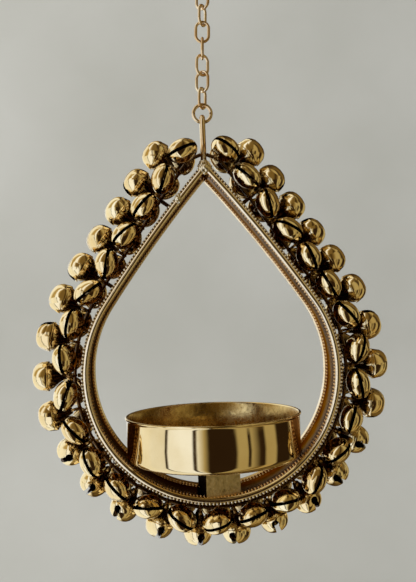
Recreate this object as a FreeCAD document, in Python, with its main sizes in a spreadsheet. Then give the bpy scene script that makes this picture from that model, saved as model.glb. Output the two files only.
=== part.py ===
import FreeCAD, Part
import math
import os
import Sketcher
from FreeCAD import Placement, Rotation, Vector

# Hanging candle holder in polished brass: a teardrop strip with a small cup inside,
# a garland of slit bells all the way round it, and a chain of oval links above.
# Millimetres. The origin is the point of the top ring where a hook carries it,
# +Z is up, +X is to the viewer's right and the viewer stands at -Y.
doc = FreeCAD.newDocument("hanging_candle_holder")
sizes = doc.addObject("Spreadsheet::Sheet", "sizes")


values = {
    # Teardrop strip, its round lower part and its slightly bulging flanks to mid-wall
    "bottom_radius": 28.9,
    "flank_radius": 321,
    # Apex above the centre of the round part
    "apex_rise": 47.4,
    "strip_wall": 0.6,
    "strip_width": 16,
    # Raised rim along each edge: across the wall, and front to back
    "rim_thick": 1.24,
    "rim_wide": 0.9,
    # Edging wire: its height above the rim, its width, and how far behind the rim's face
    "edging_thick": 0.35,
    "edging_wide": 0.55,
    "edging_inset": 0.28,
    # Solder film between pieces that are brazed together
    "seat": 0.02,
    # Cup: outside of the wall, foot to lip, sheet, bevelled bend and turned-out lip
    "cup_radius": 20.55,
    "cup_height": 10.75,
    "cup_wall": 0.5,
    "cup_bend": 1.6,
    "lip_out": 0.35,
    "lip_high": 0.8,
    # Short square tube under the cup, how far right it was soldered, and its turn in degrees
    "riser_wide": 8,
    "riser_deep": 12,
    "riser_wall": 0.8,
    "riser_shift": 0.8,
    "riser_skew": 8,
    # Tall loop: its wire, its width front to back, and the jump ring's seat above the apex
    "loop_wire": 1.3,
    "loop_wide": 5,
    "loop_rise": 12.15,
    # Jump ring, oval links and top ring: wire and outside sizes
    "jump_wire": 0.85,
    "jump_across": 5.1,
    "link_wire": 0.7,
    "link_long": 5.5,
    "link_wide": 3.8,
    "ring_wire": 0.9,
    "ring_across": 8,
    # Play between one link and the next
    "play": 0.08,
    # Solder on the apex: across its foot, across its top, and up the loop
    "solder_wide": 2.9,
    "solder_tip": 2.1,
    "solder_high": 3.2,
    # Degrees that the holder hangs out of plumb, apex to the left
    "lean": 2.1,
    # Garland wire: outside mid-wall, its wire, its extra lift at the apex, its tie to the loop
    "garland_out": 3.45,
    "garland_wire": 0.9,
    "garland_lift": 1.4,
    "garland_tie": 3.9,
    # Bell: across its waist, waist to dome, waist to neck, slit, and room to the next one
    "bell_across": 6.9,
    "bell_dome": 3.4,
    "bell_neck": 4.85,
    "bell_slit": 1.25,
    "bell_gap": 0.9,
    # Degrees that front and rear bells point outwards
    "front_tilt": 20,
    "rear_tilt": 15,
    # Outward bells' extra stem, on the flanks and round the foot
    "outer_stem": 1.2,
    "low_stem": 0.2,
    # Outward bells to each side of the foot whose slits run front to back
    "turned_bells": 5,
    # Short square posts from the strip to the garland wire
    "post_wire": 0.9,
}
for row, (name, value) in enumerate(values.items(), start=1):
    sizes.set(f"A{row}", name)
    sizes.set(f"B{row}", str(value))
    sizes.setAlias(f"B{row}", name)
doc.recompute()


def number(name):
    return float(sizes.get(name))


def plane(body, role):
    return next(f for f in body.Origin.OriginFeatures if f.Role == role)


def sketch_on(body, role, name):
    made = body.newObject("Sketcher::SketchObject", name)
    made.AttachmentSupport = (plane(body, role), [""])
    made.MapMode = "FlatFace"
    return made


def bind(sketch, kind, *where_and_expression):
    """Adds one dimension to a sketch and ties it to the sheet."""
    *where, start, expression = where_and_expression
    index = sketch.addConstraint(Sketcher.Constraint(kind, *where, start))
    sketch.setExpression(f"Constraints[{index}]", expression)


def hang(thing):
    """Places a piece of the holder: its own zero is the seat on the jump ring."""
    thing.Placement = Placement(Vector(0, 0, -seat_drop), Rotation(Vector(0, -1, 0), 1))
    thing.setExpression(".Placement.Rotation.Angle", "sizes.lean")


# Heights down the chain, each from the one above it
ring_middle = -(number("ring_across") / 2 - number("ring_wire"))
ring_foot = ring_middle - (number("ring_across") - number("ring_wire")) / 2
link_line = number("link_long") - number("link_wire")
link_pitch = link_line - number("link_wire") - number("play")
first_link_top = ring_foot + (number("ring_wire") + number("link_wire")) / 2 + number("play")
link_turns = (-30, 60, 0, 90, 30, -30, 60)
last_link_foot = first_link_top - (len(link_turns) - 1) * link_pitch - link_line
jump_radius = (number("jump_across") - number("jump_wire")) / 2
jump_top = last_link_foot + (number("link_wire") + number("jump_wire")) / 2 + number("play")
jump_middle = jump_top - jump_radius
seat_drop = -(jump_middle - jump_radius)

# Teardrop outline: a round lower part, and two flanks that run on from it to the apex
radius = number("bottom_radius")
flank = number("flank_radius")
apex = -number("loop_rise")
middle = apex - number("apex_rise")
reach = flank - radius


def flank_start():
    """The angle above the horizontal at which the flank leaves the round part."""
    low, high = 0.0, math.pi / 2
    for _ in range(60):
        angle = (low + high) / 2
        rise = math.sqrt(flank**2 - (reach * math.cos(angle)) ** 2) - reach * math.sin(angle)
        if rise > apex - middle:
            low = angle
        else:
            high = angle
    return low


turn = flank_start()
flank_x = -reach * math.cos(turn)
flank_z = middle - reach * math.sin(turn)


def apex_angle(out):
    """The angle of the flank's own radius at the apex, for a line that far outside."""
    return math.acos(-flank_x / (flank + out))


def half_line(out):
    """From the lowest point up one side to the apex, that far outside the wall."""
    return (math.pi / 2 + turn) * (radius + out) + (apex_angle(0) - turn) * (flank + out)


def on_outline(along, out):
    """A point on the outline and the way outwards there. Right of the foot is plus."""
    side = 1 if along >= 0 else -1
    run = abs(along)
    round_part = (math.pi / 2 + turn) * (radius + out)
    if run <= round_part:
        angle = run / (radius + out) - math.pi / 2
        x, z, r = 0.0, middle, radius + out
    else:
        angle = turn + (run - round_part) / (flank + out)
        x, z, r = flank_x, flank_z, flank + out
    outward = Vector(side * math.cos(angle), 0, math.sin(angle))
    return Vector(side * (x + r * math.cos(angle)), 0, z + r * math.sin(angle)), outward


def teardrop(sketch, out, expression):
    """A closed teardrop, out millimetres outside the middle of the wall."""
    first = sketch.GeometryCount
    r, f = radius + out, flank + out
    top = apex_angle(out)

    def arc(x, z, size_of, start, end):
        circle = Part.Circle(Vector(x, z, 0), Vector(0, 0, 1), size_of)
        sketch.addGeometry(Part.ArcOfCircle(circle, start, end), False)

    arc(0, middle, r, math.pi - turn, 2 * math.pi + turn)
    arc(flank_x, flank_z, f, turn, top)
    arc(-flank_x, flank_z, f, math.pi - top, math.pi - turn)
    for rule in (
        ("Tangent", first, 2, first + 1, 1),
        ("Coincident", first + 1, 2, first + 2, 1),
        ("Tangent", first + 2, 2, first, 1),
        ("PointOnObject", first, 3, -2),
        ("PointOnObject", first + 1, 2, -2),
        ("Equal", first + 1, first + 2),
    ):
        sketch.addConstraint(Sketcher.Constraint(*rule))
    bind(sketch, "DistanceY", first, 3, middle, "-sizes.loop_rise - sizes.apex_rise")
    bind(sketch, "Radius", first, r, f"sizes.bottom_radius + {expression}")
    bind(sketch, "Radius", first + 1, f, f"sizes.flank_radius + {expression}")
    sketch.addConstraint(Sketcher.Constraint("DistanceX", first + 1, 3, flank_x))


def band(body, name, outer, inner, length, start):
    """A teardrop band: outer and inner lines, how wide it is and where it starts in Y."""
    lines = sketch_on(body, "XZ_Plane", f"{name}_outline")
    teardrop(lines, *outer)
    teardrop(lines, *inner)
    pad = body.newObject("PartDesign::Pad", name)
    pad.Profile = lines
    pad.setExpression("Length", length)
    if start is None:
        pad.Midplane = True
    else:
        lines.setExpression(".AttachmentOffset.Base.z", start)
    doc.recompute()
    return pad


# Strip: flat sheet with a raised rim along both edges
strip = doc.addObject("PartDesign::Body", "drop_strip")
half_wall = number("strip_wall") / 2
half_rim = number("rim_thick") / 2
band(
    strip,
    "strip_flat",
    (half_wall, "sizes.strip_wall / 2"),
    (-half_wall, "-sizes.strip_wall / 2"),
    "sizes.strip_width",
    None,
)
rim = band(
    strip,
    "strip_rim",
    (half_rim, "sizes.rim_thick / 2"),
    (-half_rim, "-sizes.rim_thick / 2"),
    "sizes.rim_wide",
    "sizes.strip_width / 2 - sizes.rim_wide",
)
rims = strip.newObject("PartDesign::Mirrored", "both_rims")
rims.Originals = [rim]
rims.MirrorPlane = (plane(strip, "XZ_Plane"), [""])
strip.Tip = rims
hang(strip)

# Edging wires soldered along the outside of the rims, front and back
edging_foot = half_rim + number("seat")
edging_top = edging_foot + number("edging_thick")
for name, start in (
    ("edging_front", "sizes.strip_width / 2 - sizes.edging_inset - sizes.edging_wide"),
    ("edging_rear", "sizes.edging_inset - sizes.strip_width / 2"),
):
    edging = doc.addObject("PartDesign::Body", name)
    band(
        edging,
        f"{name}_wire",
        (edging_top, "sizes.rim_thick / 2 + sizes.seat + sizes.edging_thick"),
        (edging_foot, "sizes.rim_thick / 2 + sizes.seat"),
        "sizes.edging_wide",
        start,
    )
    hang(edging)

# Cup: drawn sheet with a flat foot and a small lip, nested in the round of the strip
seat_radius = radius - half_wall - number("cup_bend") - 3 * number("seat")
cup_foot_across = number("cup_radius") - number("cup_bend")
cup_foot = middle - math.sqrt(seat_radius**2 - cup_foot_across**2) - number("cup_bend")
cup_top = cup_foot + number("cup_height")
cup = doc.addObject("PartDesign::Body", "candle_cup")
profile = sketch_on(cup, "XZ_Plane", "cup_profile")
wall = number("cup_wall")
lip_z = cup_top - number("lip_high")
corners = (
    (0, cup_foot, "0", "0"),
    (cup_foot_across, cup_foot, "sizes.cup_radius - sizes.cup_bend", "0"),
    (
        number("cup_radius"),
        cup_foot + number("cup_bend"),
        "sizes.cup_radius",
        "sizes.cup_bend",
    ),
    (number("cup_radius"), lip_z, "sizes.cup_radius", "sizes.cup_height - sizes.lip_high"),
    (
        number("cup_radius") + number("lip_out"),
        cup_top,
        "sizes.cup_radius + sizes.lip_out",
        "sizes.cup_height",
    ),
    (
        number("cup_radius") - wall,
        cup_top,
        "sizes.cup_radius - sizes.cup_wall",
        "sizes.cup_height",
    ),
    (
        number("cup_radius") - wall,
        cup_foot + number("cup_bend"),
        "sizes.cup_radius - sizes.cup_wall",
        "sizes.cup_bend",
    ),
    (
        cup_foot_across - wall / 2,
        cup_foot + wall,
        "sizes.cup_radius - sizes.cup_bend - sizes.cup_wall / 2",
        "sizes.cup_wall",
    ),
    (0, cup_foot + wall, "0", "sizes.cup_wall"),
)
for index, (x, z, _, _) in enumerate(corners):
    after = corners[(index + 1) % len(corners)]
    profile.addGeometry(Part.LineSegment(Vector(x, z, 0), Vector(after[0], after[1], 0)), False)
for index in range(len(corners)):
    after = (index + 1) % len(corners)
    profile.addConstraint(Sketcher.Constraint("Coincident", index, 2, after, 1))
profile.addConstraint(Sketcher.Constraint("PointOnObject", 0, 1, -2))
profile.addConstraint(Sketcher.Constraint("PointOnObject", 8, 1, -2))
profile.addConstraint(Sketcher.Constraint("DistanceY", 0, 1, cup_foot))
profile.addConstraint(Sketcher.Constraint("Horizontal", 0))
for index in range(1, 8):
    x, z, x_rule, z_rule = corners[index]
    bind(profile, "DistanceX", -1, 1, index, 1, x, x_rule)
    if index > 1:
        bind(profile, "DistanceY", 0, 1, index, 1, z - cup_foot, z_rule)
profile.addConstraint(Sketcher.Constraint("Horizontal", 7))
turned = cup.newObject("PartDesign::Revolution", "cup_turned")
turned.Profile = profile
turned.ReferenceAxis = (plane(cup, "Z_Axis"), [""])
turned.Angle = 360
doc.recompute()
hang(cup)

# Riser: short square tube between the strip and the cup, its foot curved to the strip
riser_top = cup_foot - number("seat")
riser_block = doc.addObject("Part::Box", "riser_block")
riser_hollow = doc.addObject("Part::Box", "riser_hollow")
for block, less in ((riser_block, "0"), (riser_hollow, "2 * sizes.riser_wall")):
    block.setExpression("Length", f"sizes.riser_wide - {less}")
    block.setExpression("Width", f"sizes.riser_deep - {less}")
    block.Height = riser_top - middle + radius
    block.setExpression(".Placement.Base.x", f"({less} - sizes.riser_wide) / 2")
    block.setExpression(".Placement.Base.y", f"({less} - sizes.riser_deep) / 2")
riser_tube = doc.addObject("Part::Cut", "riser_tube")
riser_tube.Base = riser_block
riser_tube.Tool = riser_hollow
riser_tube.Placement = Placement(Vector(0, 0, middle - radius), Rotation(Vector(0, 0, -1), 1))
riser_tube.setExpression(".Placement.Base.x", "sizes.riser_shift")
riser_tube.setExpression(".Placement.Rotation.Angle", "sizes.riser_skew")
riser_round = doc.addObject("Part::Cylinder", "riser_round")
riser_round.setExpression(
    "Radius", "sizes.bottom_radius - sizes.strip_wall / 2 - sizes.seat"
)
riser_round.setExpression("Height", "sizes.strip_width")
riser_round.Placement = Placement(
    Vector(0, number("strip_width") / 2, middle), Rotation(Vector(1, 0, 0), 90)
)
riser = doc.addObject("Part::Common", "cup_riser")
riser.Base = riser_tube
riser.Tool = riser_round
doc.recompute()
hang(riser)


def closed_solid(faces):
    """A solid from flat faces, each given by its corners."""
    made = []
    for corners_of in faces:
        made.append(Part.Face(Part.makePolygon(list(corners_of) + [corners_of[0]])))
    solid = Part.Solid(Part.Shell(made))
    if solid.Volume < 0:
        solid.reverse()
    return solid


def bent_wire(path, normal, thick, closed):
    """Six-sided wire along straight runs that lie in one plane, mitred at each bend."""
    rings = []
    count = len(path)
    for index, point in enumerate(path):
        into = point - path[index - 1] if closed or index else path[1] - point
        leave = path[(index + 1) % count] - point if closed or index < count - 1 else into
        into.normalize()
        leave.normalize()
        along = into + leave
        along.normalize()
        side = along.cross(normal)
        stretch = 1 / along.dot(into)
        ring = []
        for step in range(6):
            angle = math.radians(60 * step)
            ring.append(
                point
                + side * (thick / 2 * stretch * math.cos(angle))
                + normal * (thick / 2 * math.sin(angle))
            )
        rings.append(ring)
    faces = []
    for index in range(count if closed else count - 1):
        one, other = rings[index], rings[(index + 1) % count]
        for step in range(6):
            after = (step + 1) % 6
            faces.append((one[step], one[after], other[after], other[step]))
    if not closed:
        faces += [tuple(rings[0]), tuple(rings[-1])]
    return closed_solid(faces)


def oval(long, wide, flats):
    """An upright oval in X and Z: two straight legs, and ends with a flat at the very tip."""
    r = wide / 2
    straight = long / 2 - r * math.cos(math.pi / 2 / flats)
    points = []
    for centre, start in ((straight, 0), (-straight, 180)):
        for step in range(flats + 1):
            angle = math.radians(start + 180 * step / flats)
            points.append(Vector(r * math.cos(angle), 0, centre + r * math.sin(angle)))
    return points


def piece(name, shape, place):
    made = doc.addObject("Part::Feature", name)
    made.Shape = shape
    made.Placement = place
    return made


def turned_about_z(angle, height):
    return Placement(Vector(0, 0, height), Rotation(Vector(0, 0, 1), angle))


# Top ring, chain links and jump ring, each turned about the vertical as it hangs
across_y = Vector(0, 1, 0)
ring_line = number("ring_across") - number("ring_wire")
ring_path = [
    Vector(ring_line / 2 * math.cos(math.pi * k / 6), 0, ring_line / 2 * math.sin(math.pi * k / 6))
    for k in range(12)
]
piece(
    "hanging_ring",
    bent_wire(ring_path, across_y, number("ring_wire"), True),
    turned_about_z(90, ring_middle),
)
link_path = oval(link_line, number("link_wide") - number("link_wire"), 5)
link_shape = bent_wire(link_path, across_y, number("link_wire"), True)
for index, angle in enumerate(link_turns):
    height = first_link_top - link_line / 2 - index * link_pitch
    piece(f"chain_link_{index + 1:02d}", link_shape, turned_about_z(angle, height))
jump_path = [
    Vector(jump_radius * math.cos(math.pi * k / 6), 0, jump_radius * math.sin(math.pi * k / 6))
    for k in range(12)
]
piece(
    "jump_ring",
    bent_wire(jump_path, across_y, number("jump_wire"), True),
    turned_about_z(0, jump_middle),
)

# Everything below the jump ring is made about its own zero and hung with the same lean
hung = Placement(Vector(0, 0, -seat_drop), Rotation(Vector(0, -1, 0), number("lean")))
along_x = Vector(1, 0, 0)

# Tall loop that stands on the apex, front to back
apex_top = flank_z + math.sqrt((flank + half_wall) ** 2 - flank_x**2)
loop_top = (number("jump_wire") + number("loop_wire")) / 2 + number("play")
loop_foot = apex_top + number("seat") + number("loop_wire") / 2
loop_line = loop_top - loop_foot
loop_path = [
    Vector(0, p.x, p.z + (loop_top + loop_foot) / 2)
    for p in oval(loop_line, number("loop_wide") - number("loop_wire"), 5)
]
loop_shape = bent_wire(loop_path, along_x, number("loop_wire"), True)
piece("hanging_loop", loop_shape, hung)

# Solder where the two ends of the strip meet and hold the loop
solder_foot = apex_top + number("seat")
solder_rings = [
    [
        Vector(r * math.cos(math.radians(60 * k)), r * math.sin(math.radians(60 * k)), z)
        for k in range(6)
    ]
    for r, z in (
        (number("solder_wide") / 2, solder_foot),
        (number("solder_tip") / 2, solder_foot + number("solder_high")),
    )
]
solder_faces = [tuple(solder_rings[0]), tuple(solder_rings[1])]
for step in range(6):
    after = (step + 1) % 6
    low, high = solder_rings
    solder_faces.append((low[step], low[after], high[after], high[step]))
piece("apex_solder", closed_solid(solder_faces).cut(loop_shape), hung)

# Garland wire: straight runs from bell to bell, ending at the two sides of the loop
bell_pitch = number("bell_across") + number("bell_gap")
each_side = round(half_line(number("garland_out")) / bell_pitch)


def garland(station):
    """A point of the garland wire and the way outwards, counted in bells from the foot."""
    out = number("garland_out")
    lift = number("garland_lift") * max(0, abs(station) - each_side + 3) / 3
    spot, outward = on_outline(station * half_line(out) / each_side, out)
    return spot + outward * lift, outward


wire_half = number("garland_wire") / 2
joint = Vector(number("loop_wire") / 2 + number("seat"), 0, apex_top + number("garland_tie"))
garland_path = [Vector(-joint.x, 0, joint.z)]
for station in range(-each_side, each_side + 1):
    garland_path.append(garland(station)[0])
garland_path.append(joint)
garland_shape = bent_wire(garland_path, across_y, number("garland_wire"), False)
piece("garland_wire", garland_shape, hung)

# Short posts that hold the garland wire off the strip
posts = []
post_wire = number("post_wire")
post_stations = [k + 0.5 for k in range(0, each_side - 1, 3)]
for station in [-k for k in post_stations] + post_stations:
    outward = garland(station)[1]
    spot = (garland(station - 0.5)[0] + garland(station + 0.5)[0]) / 2
    out = number("garland_out")
    at_wall = on_outline(station * half_line(out) / each_side, out)[0] - outward * out
    base = at_wall + outward * (half_wall + number("seat"))
    length = (spot - base).dot(outward) - wire_half - number("seat")
    side = outward.cross(across_y)
    post = Part.makeBox(
        post_wire, post_wire, length, Vector(-post_wire / 2, -post_wire / 2, 0)
    )
    post.Placement = Placement(base, Rotation(side, across_y, outward))
    posts.append(post)
piece("garland_posts", Part.makeCompound(posts), hung)


def bell(neck):
    """A slit bell with six flats, its waist at zero, its dome down and its neck up."""
    waist = number("bell_across") / 2
    rings = (
        (0.60 * waist, -number("bell_dome")),
        (1.02 * waist, -0.20 * number("bell_dome")),
        (0.80 * waist, 0.40 * number("bell_neck")),
        (0.16 * waist, neck),
    )
    corners_of = [
        [
            Vector(r * math.cos(math.radians(60 * k + 30)), r * math.sin(math.radians(60 * k + 30)), z)
            for k in range(6)
        ]
        for r, z in rings
    ]
    faces = [tuple(corners_of[0]), tuple(corners_of[-1])]
    for one, other in zip(corners_of, corners_of[1:]):
        for step in range(6):
            after = (step + 1) % 6
            faces.append((one[step], one[after], other[after], other[step]))
    return closed_solid(faces)


def slit(body_of):
    """The slit from the bottom of the dome up to the waist, open at both ends."""
    across = number("bell_across")
    gap = number("bell_slit")
    cut_by = Part.makeBox(
        2 * across,
        gap,
        across,
        Vector(-across, -gap / 2, -across - 0.09 * across),
    )
    return body_of.cut(cut_by)


def stood(shape, waist_at, neck_way, slit_way, roll):
    """A bell put with its waist at a point, its neck one way and its slit along another."""
    neck_way = Vector(neck_way)
    neck_way.normalize()
    side = slit_way - neck_way * slit_way.dot(neck_way)
    side.normalize()
    side = Rotation(neck_way, roll).multVec(side)
    made = shape.copy()
    made.Placement = Placement(waist_at, Rotation(side, neck_way.cross(side), neck_way))
    return made


# Bells: at each station one to the front, one to the back, and one outwards beyond it
near_bell = slit(bell(number("bell_neck")))
rear_bell = bell(number("bell_neck"))
front_tilt = math.radians(number("front_tilt"))
rear_tilt = math.radians(number("rear_tilt"))
near_reach = number("bell_neck") + wire_half
for station in range(-each_side, each_side + 1):
    spot, outward = garland(station)
    tangent = across_y.cross(outward)
    swing = 18 * math.sin(2.4 * station + 0.6)
    group = []
    for shape, way, tilt in ((near_bell, -1, front_tilt), (rear_bell, 1, rear_tilt)):
        points = outward * math.sin(tilt) + across_y * (way * math.cos(tilt))
        group.append(stood(shape, spot + points * near_reach, points * -1, tangent, swing))
    if station < each_side:
        spot, outward = garland(station + 0.5)
        low = abs(station + 0.5) < number("turned_bells")
        slit_way = across_y if low else across_y.cross(outward)
        stem = number("low_stem") if low else number("outer_stem")
        outer_bell = slit(bell(number("bell_neck") + stem))
        waist_at = spot + outward * (near_reach + stem)
        swing = 20 * math.sin(1.9 * station + 1.1)
        group.append(stood(outer_bell, waist_at, outward * -1, slit_way, swing))
    piece(f"bells_{station + each_side + 1:02d}", Part.makeCompound(group), hung)

doc.recompute()

# Every object must be sound before anything is written
kept = [
    thing
    for thing in doc.Objects
    if thing.TypeId in ("PartDesign::Body", "Part::Feature") or thing is riser
]
for thing in doc.Objects:
    if "Invalid" in thing.State or "Error" in thing.State:
        raise RuntimeError(f"{thing.Name} is {thing.State}")
os.makedirs("parts", exist_ok=True)
for thing in kept:
    thing.Label = thing.Name
    if thing.Shape.isNull() or not thing.Shape.isValid() or thing.Shape.Volume <= 0:
        raise RuntimeError(f"{thing.Name} has no sound shape")
for thing in kept:
    thing.Shape.exportStep(f"parts/{thing.Label}.step")
print(len(kept), "pieces, cup foot", round(cup_foot - middle, 2), "below the centre")
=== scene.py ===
import math

import bmesh
import bpy
from mathutils import Matrix, Vector


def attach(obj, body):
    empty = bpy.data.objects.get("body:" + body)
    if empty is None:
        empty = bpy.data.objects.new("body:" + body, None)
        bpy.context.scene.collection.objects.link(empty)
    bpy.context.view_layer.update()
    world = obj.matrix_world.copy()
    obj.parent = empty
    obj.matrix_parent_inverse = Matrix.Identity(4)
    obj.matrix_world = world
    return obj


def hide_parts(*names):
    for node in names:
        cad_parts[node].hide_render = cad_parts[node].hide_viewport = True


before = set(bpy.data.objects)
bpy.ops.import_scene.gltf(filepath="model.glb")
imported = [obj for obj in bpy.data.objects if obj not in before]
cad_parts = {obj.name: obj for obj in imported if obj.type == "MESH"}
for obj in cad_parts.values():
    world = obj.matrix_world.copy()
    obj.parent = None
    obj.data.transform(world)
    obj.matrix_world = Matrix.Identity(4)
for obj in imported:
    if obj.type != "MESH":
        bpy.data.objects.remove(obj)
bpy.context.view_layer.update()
mm = 0.001

# View of the holder
# A camera a little above the cup and to its left, looking nearly level and square on, as
# near as a hand is long.
camera_data = bpy.data.cameras.new("view")
camera_data.lens = 47.3
camera_data.sensor_width = 36
camera_data.clip_start = 0.01
camera = bpy.data.objects.new("view", camera_data)
camera.location = (-0.0053, -0.1826, -0.0829)
camera.rotation_euler = (math.radians(91.35), 0, math.radians(-2.1))
bpy.context.scene.collection.objects.link(camera)
bpy.context.scene.camera = camera

# Teardrop strip
# One length of brass strip, rolled with a raised round rim along both edges, bent to a
# teardrop and brazed at its apex. Its inner face between the bright rims is coloured a near-black
# brown, painted shade.
lean = math.radians(2.1)
seat_height = -38.085 * mm
hung = Matrix.Translation((0, 0, seat_height)) @ Matrix.Rotation(-lean, 4, "Y")
bottom_radius = 28.9
flank_radius = 321
loop_rise = 12.15
apex_rise = 47.4
middle = -loop_rise - apex_rise
strip_wall = 0.6
strip_width = 16
rim_thick = 1.24
rim_wide = 0.9
rim_blend = 0.15
rim_step = 15
strip_steps = 150
drift_scale, wear_scale, flats_scale = 140, 900, 270


def flank_turn():
    """Angle above the horizontal at which the flank leaves the round part."""
    reach = flank_radius - bottom_radius
    low, high = 0.0, math.pi / 2
    for _ in range(60):
        angle = (low + high) / 2
        rise = math.sqrt(flank_radius**2 - (reach * math.cos(angle)) ** 2) - reach * math.sin(angle)
        low, high = (angle, high) if rise > apex_rise else (low, angle)
    return low


turn = flank_turn()
flank_x = -(flank_radius - bottom_radius) * math.cos(turn)
flank_z = middle - (flank_radius - bottom_radius) * math.sin(turn)
round_length = (math.pi / 2 + turn) * bottom_radius
flank_length = (math.acos(-flank_x / flank_radius) - turn) * flank_radius
round_share = round_length / (round_length + flank_length)


def on_drop(share, out):
    """Point and outward way at a share of one side, foot to apex, out mm off mid-wall."""
    side = 1 if share >= 0 else -1
    run = abs(share)
    if run <= round_share:
        angle = -math.pi / 2 + run / round_share * (math.pi / 2 + turn)
        x, z, r = 0.0, middle, bottom_radius + out
    else:
        top = math.acos(-flank_x / (flank_radius + out))
        angle = turn + (run - round_share) / (1 - round_share) * (top - turn)
        x, z, r = flank_x, flank_z, flank_radius + out
    way = Vector((side * math.cos(angle), 0, math.sin(angle)))
    return Vector((side * (x + r * math.cos(angle)), 0, z + r * math.sin(angle))), way


def add_node(tree, kind, inputs=(), **settings):
    """A new node with its settings; each input is given a value or the socket it comes from."""
    made = tree.nodes.new(kind)
    for label, value in settings.items():
        setattr(made, label, value)
    for label, value in dict(inputs).items():
        if isinstance(value, bpy.types.NodeSocket):
            tree.links.new(value, made.inputs[label])
        else:
            made.inputs[label].default_value = value
    return made


def ramp(tree, factor, stops):
    """A colour ramp on a factor, its stops given by place and colour."""
    made = add_node(tree, "ShaderNodeValToRGB", {"Fac": factor})
    elements = made.color_ramp.elements
    elements.remove(elements[1])
    for index, (spot, colour) in enumerate(stops):
        item = elements.new(spot) if index else elements[0]
        item.position = spot
        item.color = (*colour, 1)
    return made.outputs["Color"]


def mixed(tree, factor, one, other):
    """Two colours mixed by a factor."""
    sources = {"Factor": factor, "A": one, "B": other}
    colours = {k: (*v, 1) if isinstance(v, tuple) else v for k, v in sources.items()}
    return add_node(tree, "ShaderNodeMix", colours, data_type="RGBA").outputs["Result"]


def brass(name, light, dark, rough, wave, wave_size, dents=0.0, patina_and_shade=None, edge_tint=(1, 1, 1)):
    """Lacquered brass: drifting colour, fine wear and slow waves. Dents lean its flats,
    the patina-and-shade colour, dark tarnish and painted shade, goes where the mesh is marked so,
    and edge tint dims it at a glance."""
    made = bpy.data.materials.new(name)
    made.use_nodes = True
    tree = made.node_tree
    shader = tree.nodes["Principled BSDF"]
    shader.inputs["Metallic"].default_value = 1
    shader.inputs["Specular Tint"].default_value = (*edge_tint, 1)
    place = add_node(tree, "ShaderNodeTexCoord").outputs

    def noise(scale, detail):
        """Noise of that scale and detail, fixed to the object."""
        inputs = {"Vector": place["Object"], "Scale": scale, "Detail": detail}
        return add_node(tree, "ShaderNodeTexNoise", inputs).outputs["Fac"]

    colour = ramp(tree, noise(drift_scale, 3), [(0.35, dark), (0.65, light)])
    # Where the mesh is marked, the colour turns to dark tarnish and painted shade.
    if patina_and_shade:
        marked = add_node(tree, "ShaderNodeAttribute", attribute_name="patina_and_shade")
        colour = mixed(tree, marked.outputs["Fac"], colour, patina_and_shade)
    tree.links.new(colour, shader.inputs["Base Color"])
    gloss = add_node(
        tree,
        "ShaderNodeMapRange",
        {
            "Value": noise(wear_scale, 4),
            "From Min": 0.3,
            "From Max": 0.7,
            "To Min": rough * 0.6,
            "To Max": rough * 1.5,
        },
    )
    tree.links.new(gloss.outputs["Result"], shader.inputs["Roughness"])
    waves = {"Height": noise(wave_size, 2), "Strength": wave, "Distance": 0.3 * mm}
    bump = add_node(tree, "ShaderNodeBump", waves)
    if dents:
        cells = {"Vector": place["Object"], "Scale": flats_scale}
        flats = add_node(tree, "ShaderNodeTexVoronoi", cells).outputs["Color"]
        even = add_node(tree, "ShaderNodeVectorMath", {0: flats}, operation="SUBTRACT")
        even.inputs[1].default_value = (0.5, 0.5, 0.5)
        less = {0: even.outputs["Vector"], "Scale": dents}
        less = add_node(tree, "ShaderNodeVectorMath", less, operation="SCALE")
        leaned = {0: place["Normal"], 1: less.outputs["Vector"]}
        leaned = add_node(tree, "ShaderNodeVectorMath", leaned, operation="ADD")
        faced = add_node(
            tree,
            "ShaderNodeVectorTransform",
            {"Vector": leaned.outputs["Vector"]},
            vector_type="NORMAL",
            convert_from="OBJECT",
            convert_to="WORLD",
        )
        tree.links.new(faced.outputs["Vector"], bump.inputs["Normal"])
    tree.links.new(bump.outputs["Normal"], shader.inputs["Normal"])
    return made


def mesh_of(name, shape, *finishes):
    """Turns a built shape into a mesh with its finishes."""
    mesh = bpy.data.meshes.new(name)
    shape.to_mesh(mesh)
    shape.free()
    for finish in finishes:
        mesh.materials.append(finish)
    return mesh


def shade_round(shape, crease=180):
    """Shades a shape smooth, but for the edges that bend by more than crease degrees."""
    for face in shape.faces:
        face.smooth = True
    for side in shape.edges:
        if len(side.link_faces) == 2 and side.calc_face_angle(0) > math.radians(crease):
            side.smooth = False


def in_scene(name, data):
    """A new object in the scene that carries a mesh, a curve or a lamp."""
    made = bpy.data.objects.new(name, data)
    bpy.context.scene.collection.objects.link(made)
    return made


def added(name, mesh, body, slot, *nodes):
    """Puts a finished mesh in the scene, riding on its body and standing for those nodes."""
    piece = in_scene(name, mesh)
    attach(piece, body)
    if nodes:
        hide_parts(*nodes)


rim_brass = brass("rim_brass", (1.0, 0.86, 0.62), (0.95, 0.76, 0.48), 0.12, 0.20, 260)
# The inner face's near-black brown is painted shade for the dark between the rims.
inner_light, inner_dark = (0.22, 0.10, 0.035), (0.09, 0.04, 0.015)
inner_painted_shade_brass = brass(
    "inner_painted_shade_brass", inner_light, inner_dark, 0.14, 0.30, 420, edge_tint=(0.50, 0.38, 0.27)
)
half_wall = strip_wall / 2
half_rim = rim_thick / 2
edge = strip_width / 2
section = [(-half_wall, -edge + rim_wide + rim_blend)]
for k in range(180 // rim_step + 1):
    angle = math.radians(180 + rim_step * k)
    section.append(
        (half_rim * math.cos(angle), -edge + rim_wide / 2 + rim_wide / 2 * math.sin(angle))
    )
section.append((half_wall, -edge + rim_wide + rim_blend))
section += [(out, -y) for out, y in reversed(section)]
shape = bmesh.new()
rows = []
for k in range(-strip_steps, strip_steps + 1):
    row = []
    for out, y in section:
        spot = on_drop(k / strip_steps, out)[0]
        row.append(shape.verts.new(hung @ (Vector((spot.x, y, spot.z)) * mm)))
    rows.append(row)
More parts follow.
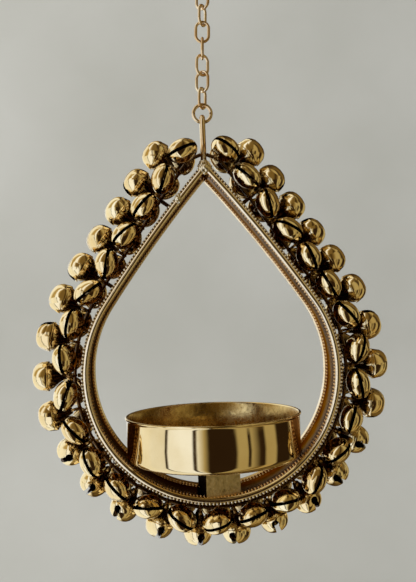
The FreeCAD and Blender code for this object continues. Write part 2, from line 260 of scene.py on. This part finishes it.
for one, other in zip(rows, rows[1:]):
    for k in range(len(section)):
        after = (k + 1) % len(section)
        face = shape.faces.new((one[k], one[after], other[after], other[k]))
        furthest = max(abs(section[k][1]), abs(section[after][1]))
        # Faces between the rims take the inner colour, painted shade.
        face.material_index = 1 if furthest < edge - rim_wide else 0
bmesh.ops.remove_doubles(shape, verts=shape.verts, dist=0.01 * mm)
bmesh.ops.recalc_face_normals(shape, faces=shape.faces)
shade_round(shape, 40)
mesh = mesh_of("teardrop_strip", shape, rim_brass, inner_painted_shade_brass)
added("teardrop_strip", mesh, "holder", "polished_brass", "drop_strip")

# Edging wires
# A fine beaded wire brazed along the outside of each rim. Each bead is 0.64 mm of brass,
# bright on its crown, on a thinner core coloured dark brown as painted shade between the beads.
seat_gap = 0.02
edging_half = 0.18
edging_out = half_rim + seat_gap + edging_half
edging_in = 0.55
bead_brass = brass("bead_brass", (1.0, 0.90, 0.68), (0.97, 0.82, 0.56), 0.32, 0.0, 300)
# The core's dark brown is painted shade in the gaps between the beads.
core_painted_shade_brass = brass("core_painted_shade_brass", (0.24, 0.14, 0.055), (0.12, 0.065, 0.025), 0.30, 0.0, 300)


def line_through(name, spots, closed):
    """A line through those spots of the holder, as a curve in its place."""
    line = bpy.data.curves.new(name, "CURVE")
    line.dimensions = "3D"
    path = line.splines.new("POLY")
    path.points.add(len(spots) - 1)
    for point, spot in zip(path.points, spots):
        point.co = (*(hung @ (spot * mm)), 1)
    path.use_cyclic_u = closed
    return in_scene(name, line)


def drop_line(name, out, y, count=240):
    """A closed line that follows the teardrop, out mm off mid-wall and at one depth."""
    spots = [on_drop(k / count - 1, out)[0] + Vector((0, y, 0)) for k in range(2 * count)]
    return line_through(name, spots, True)


def plain_mesh(*things):
    """The mesh that the first thing's modifiers make; then all the things are taken away."""
    bpy.context.view_layer.update()
    seen = things[0].evaluated_get(bpy.context.evaluated_depsgraph_get())
    mesh = bpy.data.meshes.new_from_object(seen)
    for thing in things:
        bpy.data.objects.remove(thing)
    return mesh


def tree_of(name, *inputs):
    """An empty node tree with its named inputs and one geometry output."""
    tree = bpy.data.node_groups.new(name, "GeometryNodeTree")
    for label, kind in (("Geometry", "Geometry"), *inputs):
        tree.interface.new_socket(label, in_out="INPUT", socket_type="NodeSocket" + kind)
    tree.interface.new_socket("Geometry", in_out="OUTPUT", socket_type="NodeSocketGeometry")
    return tree, tree.nodes.new("NodeGroupInput").outputs


def finished(tree, *parts):
    """Ends a node tree: its parts made real, given their materials and joined."""
    done = add_node(tree, "GeometryNodeJoinGeometry").inputs["Geometry"]
    for geometry, finish in parts:
        real = add_node(tree, "GeometryNodeRealizeInstances", {"Geometry": geometry})
        coated = {"Geometry": real.outputs["Geometry"], "Material": finish}
        coated = add_node(tree, "GeometryNodeSetMaterial", coated)
        tree.links.new(coated.outputs["Geometry"], done)
    result = tree.nodes.new("NodeGroupOutput")
    tree.links.new(done.node.outputs["Geometry"], result.inputs["Geometry"])


def grown(holder, tree, name, settings):
    """Runs a node tree on an object and gives back the plain mesh that it makes."""
    modifier = holder.modifiers.new(name, "NODES")
    modifier.node_group = tree
    for item in tree.interface.items_tree:
        if item.in_out == "INPUT" and item.name in settings:
            modifier[item.identifier] = settings[item.name]
    holder.update_tag()
    mesh = plain_mesh(holder)
    mesh.name = name
    return mesh


bead_tree, given = tree_of(
    "beads_along_a_line",
    ("Pitch", "Float"),
    ("Bead radius", "Float"),
    ("Core radius", "Float"),
    ("Finish", "Material"),
    ("Core finish", "Material"),
)
spaced = add_node(
    bead_tree,
    "GeometryNodeCurveToPoints",
    {"Curve": given["Geometry"], "Length": given["Pitch"]},
    mode="LENGTH",
)
ball = add_node(
    bead_tree, "GeometryNodeMeshIcoSphere", {"Subdivisions": 2, "Radius": given["Bead radius"]}
)
round_ball = add_node(
    bead_tree, "GeometryNodeSetShadeSmooth", {"Geometry": ball.outputs["Mesh"]}
)
beads = add_node(
    bead_tree,
    "GeometryNodeInstanceOnPoints",
    {"Points": spaced.outputs["Points"], "Instance": round_ball.outputs["Geometry"]},
)
circle = add_node(
    bead_tree,
    "GeometryNodeCurvePrimitiveCircle",
    {"Resolution": 6, "Radius": given["Core radius"]},
)
core = add_node(
    bead_tree,
    "GeometryNodeCurveToMesh",
    {"Curve": given["Geometry"], "Profile Curve": circle.outputs["Curve"]},
)
finished(
    bead_tree,
    (beads.outputs["Instances"], given["Finish"]),
    (core.outputs["Mesh"], given["Core finish"]),
)


def beaded(name, line, pitch, radius, core_radius, finish, *nodes):
    """A row of beads on its core along a line, riding on the holder."""
    settings = {
        "Pitch": pitch * mm,
        "Bead radius": radius * mm,
        "Core radius": core_radius * mm,
        "Finish": finish,
        "Core finish": core_painted_shade_brass,
    }
    added(name, grown(line, bead_tree, name, settings), "holder", "polished_brass", *nodes)


for name, y in (("edging_front", edging_in - edge), ("edging_rear", edge - edging_in)):
    line = drop_line(name, edging_out, y)
    beaded(name + "_beads", line, 0.84, 0.32, 0.24, bead_brass, name)

# Beaded lines inside the strip
# Two embossed rows of small beads run beside each rim on the strip's inner face, with
# the plain channel between them. They are rubbed to an orange brown.
beads_out = 0.06 - half_wall
bead_rows = (1.75 - edge, 2.85 - edge, edge - 3.90, edge - 2.30)
emboss_brass = brass("emboss_brass", (0.98, 0.64, 0.29), (0.74, 0.44, 0.17), 0.16, 0.0, 300)
for index, y in enumerate(bead_rows):
    name = f"inner_beads_{index + 1}"
    beaded(name, drop_line(name, beads_out, y), 0.80, 0.34, 0.12, emboss_brass)

# Candle cup
# A shallow cup drawn from brass sheet, polished outside and duller inside, with a rolled
# lip and a flat foot; the inside's darker, browner colour is painted shade. It is brazed into the
# round of the strip and holds a tealight.
cup_radius = 20.55
cup_height = 10.75
cup_wall = 0.5
cup_bend = 1.6
cup_waist = 5.0
flat_foot = 12.0
lip_out = 0.35
lip_round = 0.32
cup_seat = bottom_radius - half_wall - cup_bend - 3 * seat_gap
cup_foot = middle - math.sqrt(cup_seat**2 - (cup_radius - cup_bend) ** 2) - cup_bend
cup_brass = brass("cup_brass", (0.90, 0.72, 0.40), (0.82, 0.63, 0.32), 0.05, 0.07, 120)
# The inside's darker, browner colour is painted shade.
cup_inside_painted_shade = brass("cup_inside_painted_shade", (0.74, 0.54, 0.22), (0.44, 0.28, 0.09), 0.24, 0.20, 500)


def arc(centre, radius, start, step, count, squared=1.0):
    """Points of radius and height on an arc, by degrees, its reach drawn in by a power."""
    angles = [math.radians(start + step * k) for k in range(count)]
    return [
        (
            centre[0] + radius * math.copysign(abs(math.cos(a)) ** squared, math.cos(a)),
            centre[1] + radius * math.sin(a),
        )
        for a in angles
    ]


profile = [(0.0, 0.0), (flat_foot, 0.0)]
profile += arc((cup_radius - cup_bend, cup_bend), cup_bend, -90, 15, 7, 1.25)
profile += [(cup_radius, cup_waist), (cup_radius, cup_height - 0.9)]
profile.append((cup_radius + 0.1, cup_height - 0.55))
profile += arc(
    (cup_radius + lip_out - lip_round, cup_height - lip_round), lip_round, -30, 35, 7
)
outside_rings = len(profile)
inner = cup_radius - cup_wall
inner_bend = cup_bend - cup_wall
profile += [(inner, cup_height - 0.7), (inner, cup_waist)]
profile += arc((inner - inner_bend, cup_bend), inner_bend, 0, -22.5, 5)
profile += [(flat_foot, cup_wall), (0.0, cup_wall)]


def turned(profile, sides, second_from=math.inf):
    """A closed shape turned about Z from a line of radius and height, in millimetres.
    From one of its rings on it has its second material."""
    shape = bmesh.new()
    turns = [2 * math.pi * k / sides for k in range(sides)]
    rings = [
        [shape.verts.new((r * math.cos(a), r * math.sin(a), z)) for a in (turns if r else [0])]
        for r, z in profile
    ]
    for index, (one, other) in enumerate(zip(rings, rings[1:])):
        for k in range(sides):
            after = (k + 1) % sides
            corners = (
                one[k % len(one)],
                one[after % len(one)],
                other[after % len(other)],
                other[k % len(other)],
            )
            face = shape.faces.new(list(dict.fromkeys(corners)))
            face.material_index = 1 if index >= second_from else 0
    bmesh.ops.recalc_face_normals(shape, faces=shape.faces)
    shade_round(shape)
    return shape


shape = turned(profile, 160, outside_rings - 1)
shape.transform(hung @ Matrix.Scale(mm, 4) @ Matrix.Translation((0, 0, cup_foot)))
mesh = mesh_of("cup", shape, cup_brass, cup_inside_painted_shade)
added("cup", mesh, "holder", "polished_brass", "candle_cup")

# Riser under the cup
# A short square tube with a satin face and sides coloured near black as painted shade,
# brazed a little askew between the strip and the foot of the cup. It is the solid's own shape,
# mirrored front to back.
riser_brass = brass("riser_brass", (1.0, 0.80, 0.40), (0.90, 0.70, 0.32), 0.48, 0.05, 300)
# The sides' near-black colour is painted shade, set by which way each face looks.
side_light, side_dark = (0.05, 0.028, 0.012), (0.03, 0.016, 0.007)
side_painted_shade_brass = brass(
    "side_painted_shade_brass", side_light, side_dark, 0.6, 0.05, 300, edge_tint=(0.1, 0.06, 0.03)
)
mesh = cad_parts["cup_riser"].data.copy()
mesh.transform(Matrix.Diagonal((1, -1, 1, 1)))
mesh.flip_normals()
mesh.materials.clear()
mesh.materials.append(riser_brass)
mesh.materials.append(side_painted_shade_brass)
# Faces not looking front or back take the painted-shade side colour.
for face in mesh.polygons:
    face.material_index = 0 if abs(face.normal.y) > 0.7 else 1
added("square_riser", mesh, "holder", "polished_brass", "cup_riser")

# Tall loop, links and rings
# Round brass wire, each bent to its shape and closed. The loop stands on the apex, the
# jump ring hangs in the chain, and each link hangs turned to the one above.
ring_wire = 0.9
ring_across = 8
link_wire = 0.7
link_long = 5.5
link_wide = 3.8
link_turns = (-30, 60, 0, 90, 30, -30, 60)
jump_wire = 0.85
jump_across = 5.1
loop_wire = 1.3
loop_wide = 5
play = 0.08
nearly_half = 0.4999
wire_brass = brass("wire_brass", (1.0, 0.85, 0.58), (0.70, 0.43, 0.18), 0.10, 0.05, 300)


def sum_of(tree, kind, one, other):
    """A small sum in a node tree: one kind of sum on two sockets or numbers."""
    return add_node(tree, "ShaderNodeMath", {0: one, 1: other}, operation=kind).outputs["Value"]


oval_tree, given = tree_of(
    "oval_of_wire", ("Long", "Float"), ("Wide", "Float"), ("Wire", "Float"), ("Finish", "Material")
)
line_wide = sum_of(oval_tree, "SUBTRACT", given["Wide"], given["Wire"])
line_long = sum_of(oval_tree, "SUBTRACT", given["Long"], given["Wire"])
square = add_node(
    oval_tree,
    "GeometryNodeCurvePrimitiveQuadrilateral",
    {"Width": line_wide, "Height": line_long},
)
rounded = add_node(
    oval_tree,
    "GeometryNodeFilletCurve",
    {
        "Curve": square.outputs["Curve"],
        "Radius": sum_of(oval_tree, "MULTIPLY", line_wide, nearly_half),
        "Limit Radius": True,
        "Count": 9,
    },
    mode="POLY",
)
circle = add_node(
    oval_tree,
    "GeometryNodeCurvePrimitiveCircle",
    {"Resolution": 14, "Radius": sum_of(oval_tree, "MULTIPLY", given["Wire"], 0.5)},
)
swept = add_node(
    oval_tree,
    "GeometryNodeCurveToMesh",
    {"Curve": rounded.outputs["Curve"], "Profile Curve": circle.outputs["Curve"]},
)
smooth = add_node(oval_tree, "GeometryNodeSetShadeSmooth", {"Geometry": swept.outputs["Mesh"]})
finished(oval_tree, (smooth.outputs["Geometry"], given["Finish"]))


def oval(name, long, wide, wire, top, angle, body, node, base=Matrix()):
    """One closed oval of wire, its line's top at a height, turned about the upright."""
    settings = {"Long": long * mm, "Wide": wide * mm, "Wire": wire * mm, "Finish": wire_brass}
    start = in_scene(name, bpy.data.meshes.new(name))
    mesh = grown(start, oval_tree, name, settings)
    stood = Matrix.Translation((0, 0, (top - (long - wire) / 2) * mm))
    upright = Matrix.Rotation(math.radians(angle), 4, "Z") @ Matrix.Rotation(math.pi / 2, 4, "X")
    mesh.transform(base @ stood @ upright)
    added(name, mesh, body, "polished_brass", node)


top = ring_wire / 2
oval("top_ring", ring_across, ring_across, ring_wire, top, 90, "top_ring", "hanging_ring")
foot = top - (ring_across - ring_wire)
above = ring_wire
for index, angle in enumerate(link_turns):
    link = f"link_{index + 1}"
    top = foot + (above + link_wire) / 2 + play
    node = f"chain_link_{index + 1:02d}"
    oval(link, link_long, link_wide, link_wire, top, angle, link, node)
    foot = top - (link_long - link_wire)
    above = link_wire
top = foot + (link_wire + jump_wire) / 2 + play
oval("small_ring", jump_across, jump_across, jump_wire, top, 0, "jump_ring", "jump_ring")
apex_top = flank_z + math.sqrt((flank_radius + half_wall) ** 2 - flank_x**2)
loop_top = (jump_wire + loop_wire) / 2 + play
loop_long = loop_top - (apex_top + seat_gap + loop_wire / 2) + loop_wire
oval(
    "tall_loop", loop_long, loop_wide, loop_wire, loop_top, 90, "holder", "hanging_loop", hung
)

# Solder
# Bright solder: a long lump where the strip's ends meet and the loop stands, a drop of it
# on the front rim's point, and a small patch lower down on the left of that rim.
solder_brass = brass("solder_brass", (0.93, 0.82, 0.56), (0.72, 0.55, 0.30), 0.22, 0.9, 1500)
on_rim = 0.35 - edge
left_rim, left_way = on_drop(-0.905, 0)
front_point = on_drop(1.0, 0)[0]
shape = bmesh.new()
for lump_middle, lump_reach in (
    (Vector((0, 0, apex_top + 1.2)), (1.35, 2.6, 1.5)),
    (Vector((0, on_rim, front_point.z - 0.1)), (1.45, 0.75, 1.55)),
    (Vector((left_rim.x, on_rim, left_rim.z)) + left_way * 0.2, (0.8, 0.55, 1.25)),
):
    for vert in bmesh.ops.create_icosphere(shape, subdivisions=4, radius=1)["verts"]:
        x, y, z = vert.co
        lump = 1 + 0.10 * math.sin(7 * x + 2) * math.cos(6 * z) + 0.07 * math.sin(11 * y + 5 * z)
        vert.co = lump_middle + Vector([n * r for n, r in zip((x, y, z), lump_reach)]) * lump
shade_round(shape)
shape.transform(hung @ Matrix.Scale(mm, 4))
mesh = mesh_of("solder", shape, solder_brass)
added("solder", mesh, "holder", "pale_solder", "apex_solder")

# Garland wire
# A single round wire that runs round the outside of the strip on short posts, and
# carries the bells. Its dark brown is partly tarnish where polish can't reach and partly painted
# shade.
garland_out = 3.45
garland_wire = 0.9
garland_lift = 1.4
lifted = 3
each_side = 14
tie_rise = 3.9
# Dark brown, partly tarnish and partly painted shade, for the wire and its posts.
tarnish_and_shade_brass = brass("tarnish_and_shade_brass", (0.22, 0.12, 0.04), (0.10, 0.05, 0.018), 0.22, 0.05, 300)
garland_round = (math.pi / 2 + turn) * (bottom_radius + garland_out)
garland_half = garland_round + (flank_length / flank_radius) * (flank_radius + garland_out)


def garland(station):
    """A point of the wire and the way outwards, counted in bells from the lowest one."""
    run = abs(station) / each_side * garland_half
    side = 1 if station >= 0 else -1
    if run <= garland_round:
        angle = run / (bottom_radius + garland_out) - math.pi / 2
        x, z, r = 0.0, middle, bottom_radius + garland_out
    else:
        angle = turn + (run - garland_round) / (flank_radius + garland_out)
        x, z, r = flank_x, flank_z, flank_radius + garland_out
    r += garland_lift * max(0, abs(station) - each_side + lifted) / lifted
    way = Vector((side * math.cos(angle), 0, math.sin(angle)))
    return Vector((side * (x + r * math.cos(angle)), 0, z + r * math.sin(angle))), way


tie = loop_wire / 2 + seat_gap
stops = [garland(k / 2)[0] for k in range(-2 * each_side, 2 * each_side + 1)]
stops = [Vector((-tie, 0, apex_top + tie_rise)), *stops, Vector((tie, 0, apex_top + tie_rise))]
line = line_through("garland_line", stops, False)
line.data.bevel_depth = garland_wire / 2 * mm
line.data.bevel_resolution = 3
line.data.use_fill_caps = True
mesh = plain_mesh(line)
mesh.materials.clear()
mesh.materials.append(tarnish_and_shade_brass)
added("round_garland_wire", mesh, "holder", "polished_brass", "garland_wire")
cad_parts["garland_posts"].data.materials.clear()
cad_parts["garland_posts"].data.materials.append(tarnish_and_shade_brass)

# Bells
# Each bell is stamped from thin brass in two halves: a dome with a slit that ends in two
# round holes, and a drawn-in neck set into it, with a loose pellet inside. Stamping has
# left shallow flats. The neck, the inside and the pellet are coloured near-black brown, partly
# tarnish and partly painted shade.
bell_neck = 4.85
bell_slit = 1.25
flat_slit = 1.0
slit_deep = 4.2
slit_top = -0.62
hole_radius = 0.95
hole_height = -0.75
right_through = 9
shell_wall = 0.36
hollow_share = 0.88
bright_skin = 0.17
neck_foot = 0.6
neck_fade = 1.9
# How dark the neck and the pellet get: tarnish and painted shade.
neck_tarnish_and_shade = 0.94
pellet_tarnish_and_shade = 0.8
pellet_radius = 1.25
pellet_spot = Vector((0.4, 0.2, -0.9))
# The last colour is the dark tarnish and painted shade for the marked neck, inside and pellet.
bell_brass = brass(
    "bell_brass", (1.0, 0.82, 0.47), (0.91, 0.68, 0.33), 0.10, 0.25, 330, 0.42, (0.06, 0.03, 0.01)
)
outer = [
    (0.0, -3.40), (1.0, -3.34), (1.8, -3.12), (2.45, -2.72), (2.95, -2.15),
    (3.28, -1.45), (3.46, -0.75), (3.52, -0.10), (3.52, 0.40), (3.44, 0.52),
    (3.20, 0.56), (3.10, 0.95), (2.75, 1.55), (2.20, 2.15), (1.62, 2.80),
    (1.18, 3.45), (0.90, 4.05), (0.75, 4.60), (0.0, bell_neck),
]
inside = [(max(0.0, r - shell_wall), z * hollow_share) for r, z in outer]


def cut(base, *tools):
    """Takes the tools' shapes out of the base and gives back what is left as a mesh."""
    for tool in tools:
        step = base.modifiers.new("cut", "BOOLEAN")
        step.operation = "DIFFERENCE"
        step.solver = "EXACT"
        step.object = tool
    return plain_mesh(base, *tools)


def outside_at(z):
    """Radius of the bell's outer surface at a height."""
    for (r_low, z_low), (r_high, z_high) in zip(outer, outer[1:]):
        if z_low <= z <= z_high:
            return r_low + (r_high - r_low) * (z - z_low) / (z_high - z_low)
    return 0.0


def bell_object(name, slit, wide, deep):
    """A bell with a slit of that width, its waist at the origin, stretched to a size."""
    slot = bmesh.new()
    bmesh.ops.create_cube(slot, size=1)
    slot_middle = Matrix.Translation((0, 0, slit_top - slit_deep / 2))
    slot.transform(slot_middle @ Matrix.Diagonal((right_through, slit, slit_deep, 1)))
    holes = bmesh.new()
    bmesh.ops.create_cone(
        holes,
        cap_ends=True,
        segments=14,
        radius1=hole_radius,
        radius2=hole_radius,
        depth=right_through,
        matrix=Matrix.Translation((0, 0, hole_height)) @ Matrix.Rotation(math.pi / 2, 4, "Y"),
    )
    parts = {
        "bell_shell": turned(outer, 32),
        "bell_hollow": turned(inside, 24),
        "slot": slot,
        "holes": holes,
    }
    whole = bmesh.new()
    whole.from_mesh(cut(*[in_scene(part, mesh_of(part, made)) for part, made in parts.items()]))
    shade = whole.faces.layers.float.new("patina_and_shade")
    for face in whole.faces:
        spot = face.calc_center_median()
        # Faces inside the shell are fully dark, painted shade; the neck darkens up towards the
        # wire, tarnish and painted shade.
        within = math.hypot(spot.x, spot.y) < outside_at(spot.z) - bright_skin
        darkening = max(0.0, min(neck_tarnish_and_shade, (spot.z - neck_foot) / neck_fade))
        face[shade] = 1.0 if within else darkening
    pellet = bmesh.ops.create_icosphere(
        whole, subdivisions=2, radius=pellet_radius, matrix=Matrix.Translation(pellet_spot)
    )
    for vert in pellet["verts"]:
        for face in vert.link_faces:
            face[shade] = pellet_tarnish_and_shade
    shade_round(whole, 38)
    whole.transform(Matrix.Scale(mm, 4) @ Matrix.Diagonal((wide, deep, 1, 1)))
    return in_scene(name, mesh_of(name, whole))


hang_tree, given = tree_of(
    "hang_on_points",
    ("Pattern", "Object"),
    ("Roll", "Float"),
    ("Seed", "Int"),
    ("Finish", "Material"),
)


def kept_way(label):
    """The socket of a direction that each point carries."""
    kind = "GeometryNodeInputNamedAttribute"
    return add_node(hang_tree, kind, {"Name": label}, data_type="FLOAT_VECTOR").outputs["Attribute"]


picked = add_node(hang_tree, "GeometryNodeObjectInfo", {"Object": given["Pattern"]})
facing = add_node(
    hang_tree,
    "FunctionNodeAxesToRotation",
    {"Primary Axis": kept_way("neck_way"), "Secondary Axis": kept_way("slit_way")},
    primary_axis="Z",
    secondary_axis="X",
)
chance = add_node(
    hang_tree,
    "FunctionNodeRandomValue",
    {
        "Min": sum_of(hang_tree, "MULTIPLY", given["Roll"], -1),
        "Max": given["Roll"],
        "Seed": given["Seed"],
    },
    data_type="FLOAT",
)
roll = add_node(
    hang_tree,
    "FunctionNodeAxisAngleToRotation",
    {"Axis": (0, 0, 1), "Angle": chance.outputs["Value"]},
)
whole_turn = add_node(
    hang_tree,
    "FunctionNodeRotateRotation",
    {"Rotation": facing.outputs["Rotation"], "Rotate By": roll.outputs["Rotation"]},
    rotation_space="LOCAL",
)
placed = add_node(
    hang_tree,
    "GeometryNodeInstanceOnPoints",
    {
        "Points": given["Geometry"],
        "Instance": picked.outputs["Geometry"],
        "Rotation": whole_turn.outputs["Rotation"],
    },
)
finished(hang_tree, (placed.outputs["Instances"], given["Finish"]))


def hang_row(name, places, pattern, roll, seed, finish, *nodes):
    """Hangs a pattern at those places, each with a spot and its neck's and slit's ways."""
    mesh = bpy.data.meshes.new(name)
    mesh.from_pydata([hung @ (spot * mm) for spot, _, _ in places], [], [])
    turn_only = hung.to_3x3()
    for label, index in (("neck_way", 1), ("slit_way", 2)):
        kept = mesh.attributes.new(label, "FLOAT_VECTOR", "POINT")
        for item, place in zip(kept.data, places):
            item.vector = turn_only @ place[index]
    settings = {"Pattern": pattern, "Roll": roll, "Seed": seed, "Finish": finish}
    mesh = grown(in_scene(name, mesh), hang_tree, name, settings)
    added(name, mesh, "holder", "polished_brass", *nodes)


def wavering(reach, rate, start, station):
    """An angle that changes from bell to bell, up to reach degrees either way."""
    return math.radians(reach * math.sin(rate * station + start))


across = Vector((0, 1, 0))
neck_reach = bell_neck + garland_wire / 2
flank_stem = 1.2
low_stem = 0.2
turned_bells = 5
side_ring = 0.75
outward_ring = 0.9
rows = {"front_bells": [], "rear_bells": [], "outward_bells": []}
ring_places = []
for station in range(-each_side, each_side + 1):
    spot, way = garland(station)
    tangent = across.cross(way)
    for row, side, lift, lean_out in (("front_bells", -1, 20, 5), ("rear_bells", 1, 15, -12)):
        tilt = math.radians(lift)
        points = way * math.sin(tilt) + across * (side * math.cos(tilt))
        tip = math.radians(lean_out) + wavering(13, 1.7, 2, station)
        dome = way * math.sin(tip) + across * (side * math.cos(tip))
        slit = tangent - dome * tangent.dot(dome)
        slit.rotate(Matrix.Rotation(wavering(26, 2.4, 0.6, station), 3, dome))
        rows[row].append((spot + points * neck_reach, -dome, slit.normalized()))
        opened = Matrix.Rotation(math.radians(side * 48) + wavering(10, 1, 0, station), 3, points)
        ring_places.append((spot + points * side_ring, -points, (opened @ tangent).normalized()))
    if station < each_side:
        spot, way = garland(station + 0.5)
        low_bell = abs(station + 0.5) < turned_bells
        swung = Matrix.Rotation(wavering(20, 1.9, 1.1, station), 3, way)
        slit = swung @ (across if low_bell else across.cross(way))
        reach = neck_reach + (low_stem if low_bell else flank_stem)
        rows["outward_bells"].append((spot + way * reach, -way, slit))
        ring_places.append((spot + way * outward_ring, -way, across.cross(way)))

bell_pattern = bell_object("bell_pattern", bell_slit, 1.02, 0.97)
flat_pattern = bell_object("flat_pattern", flat_slit, 1.04, 0.78)
bell_nodes = [f"bells_{k:02d}" for k in range(1, 30)]
for row, pattern, seed, nodes in (
    ("front_bells", flat_pattern, 4, bell_nodes),
    ("rear_bells", flat_pattern, 9, []),
    ("outward_bells", bell_pattern, 2, []),
):
    hang_row(row, rows[row], pattern, 0.05, seed, bell_brass, *nodes)
bpy.data.objects.remove(bell_pattern)
bpy.data.objects.remove(flat_pattern)

# Rings of the bells
# A small closed ring of round wire ties each bell's neck to the garland wire, each lying
# as it fell when the wire was bent round.
ring_radius = 1.2
ring_half = 0.32
around, thick = 22, 8
# The rings' dark orange brown is partly tarnish and partly painted shade.
ring_tarnish_and_shade_brass = brass("ring_tarnish_and_shade_brass", (0.56, 0.34, 0.11), (0.26, 0.14, 0.045), 0.18, 0.05, 300)
shape = bmesh.new()
rings = []
for i in range(around):
    along = 2 * math.pi * i / around
    rings.append([])
    for j in range(thick):
        about = 2 * math.pi * j / thick
        r = ring_radius + ring_half * math.cos(about)
        spot = (ring_half * math.sin(about), r * math.cos(along), r * math.sin(along))
        rings[i].append(shape.verts.new(spot))
for i in range(around):
    for j in range(thick):
        one, other, after = rings[i], rings[(i + 1) % around], (j + 1) % thick
        shape.faces.new((one[j], other[j], other[after], one[after]))
bmesh.ops.recalc_face_normals(shape, faces=shape.faces)
shade_round(shape)
shape.transform(Matrix.Scale(mm, 4))
ring_pattern = in_scene("ring_pattern", mesh_of("ring_pattern", shape))
hang_row("bell_rings", ring_places, ring_pattern, 0.22, 7, ring_tarnish_and_shade_brass)
bpy.data.objects.remove(ring_pattern)

# Light and room
# A pale plaster wall and floor under one soft lamp. The brass shows a broad window to the
# left, with dark bars between its panes, and a dim olive room in front and to the right.
floor_height = -0.42
floor_front = -1.5
wall_back = 0.8
wall_top = 1.6
cove = 0.3
half_room = 2.5
wall = bpy.data.materials.new("pale_plaster")
wall.use_nodes = True
tree = wall.node_tree
shader = tree.nodes["Principled BSDF"]
shader.inputs["Roughness"].default_value = 0.9
place = add_node(tree, "ShaderNodeTexCoord")
cloud = {"Vector": place.outputs["Object"], "Scale": 3.5, "Detail": 6}
cloud = add_node(tree, "ShaderNodeTexNoise", cloud)
plaster = [(0.3, (0.42, 0.415, 0.375)), (0.7, (0.50, 0.495, 0.46))]
plaster = ramp(tree, cloud.outputs["Fac"], plaster)
tree.links.new(plaster, shader.inputs["Base Color"])
line = [(floor_front, floor_height)]
line += arc((wall_back - cove, floor_height + cove), cove, -90, 10, 10)
line.append((wall_back, wall_top))
shape = bmesh.new()
left = [shape.verts.new((-half_room, y, z)) for y, z in line]
right = [shape.verts.new((half_room, y, z)) for y, z in line]
for k in range(len(line) - 1):
    shape.faces.new((left[k], right[k], right[k + 1], left[k + 1]))
shade_round(shape)
backdrop = in_scene("wall_and_floor", mesh_of("wall_and_floor", shape, wall))
backdrop.visible_glossy = False

pane = (1.00, 1.10, 1.36)
dim_pane = (0.88, 0.92, 0.98)
lit_wall = (0.94, 0.97, 0.98)
bar = (0.05, 0.035, 0.02)
gloom = (0.024, 0.013, 0.006)
olive = (0.42, 0.35, 0.18)
dusk = (0.035, 0.020, 0.009)
tan = (0.46, 0.35, 0.155)
brown = (0.17, 0.115, 0.04)
none, full = (0, 0, 0), (1, 1, 1)
even_light = (0.90, 0.91, 0.92)
behind = (0.50, 0.49, 0.45)
world = bpy.data.worlds.new("room")
bpy.context.scene.world = world
world.use_nodes = True
tree = world.node_tree
parts = {"Vector": add_node(tree, "ShaderNodeTexCoord").outputs["Generated"]}
parts = add_node(tree, "ShaderNodeSeparateXYZ", parts).outputs
ahead = sum_of(tree, "MULTIPLY", parts["Y"], -1)
bearing = sum_of(tree, "ARCTAN2", parts["X"], ahead)
share = sum_of(tree, "ADD", sum_of(tree, "DIVIDE", bearing, 2 * math.pi), 0.5)
height_share = sum_of(tree, "ADD", sum_of(tree, "MULTIPLY", parts["Z"], 0.5), 0.5)


def all_round(*stops):
    """A colour ramp round the room, its stops given by bearing in degrees and colour."""
    return ramp(tree, share, [((angle + 180) / 360, colour) for angle, colour in stops])


level = all_round(
    (-180, dusk), (-168, lit_wall), (-98, lit_wall), (-90, dim_pane), (-69, dim_pane),
    (-68, bar), (-65, bar), (-64, pane), (-30, pane), (-28, bar), (-25, bar),
    (-23, dim_pane), (-14, olive), (-8, gloom), (26, gloom), (30, olive), (42, olive),
    (43, gloom), (46, gloom), (48, olive), (60, dusk), (66, gloom), (70, olive),
    (84, olive), (88, gloom), (112, gloom), (124, olive), (150, olive), (164, dusk),
    (180, dusk),
)
ceiling = all_round(
    (-180, dusk), (-164, tan), (-150, lit_wall), (-112, lit_wall), (-95, tan), (-68, tan),
    (-63, pane), (-45, pane), (-40, tan), (-26, brown), (0, brown), (14, gloom),
    (30, brown), (46, olive), (70, olive), (82, gloom), (110, brown), (180, dusk),
)
ground = all_round(
    (-180, brown), (-150, lit_wall), (-98, lit_wall), (-90, dim_pane), (-69, dim_pane),
    (-68, bar), (-65, bar), (-64, pane), (-30, pane), (-28, bar), (-25, bar),
    (-23, dim_pane), (-14, olive), (-8, gloom), (24, gloom), (30, olive), (48, olive),
    (60, brown), (66, brown), (70, tan), (84, tan), (88, gloom), (110, brown), (180, dusk),
)
above = ramp(tree, height_share, [(0.565, none), (0.62, full)])
below = ramp(tree, height_share, [(0.28, full), (0.35, none)])
seen = mixed(tree, above, level, ceiling)
seen = mixed(tree, below, seen, ground)
kind = add_node(tree, "ShaderNodeLightPath").outputs
seen = mixed(tree, kind["Is Diffuse Ray"], seen, even_light)
seen = mixed(tree, kind["Is Camera Ray"], seen, behind)
tree.links.new(seen, tree.nodes["Background"].inputs["Color"])

soft = bpy.data.lights.new("soft_window", "AREA")
soft.shape = "RECTANGLE"
soft.size, soft.size_y = 0.9, 0.9
soft.energy = 21
soft.color = (1, 0.99, 0.95)
soft_window = in_scene("soft_window", soft)
soft_window.location = (-1.5, -0.7, 0.8)
aim = Vector((0.1, 0.5, -0.1)) - soft_window.location
soft_window.rotation_euler = aim.to_track_quat("-Z", "Y").to_euler()
soft_window.visible_glossy = False
bpy.context.scene.view_settings.view_transform = "Standard"
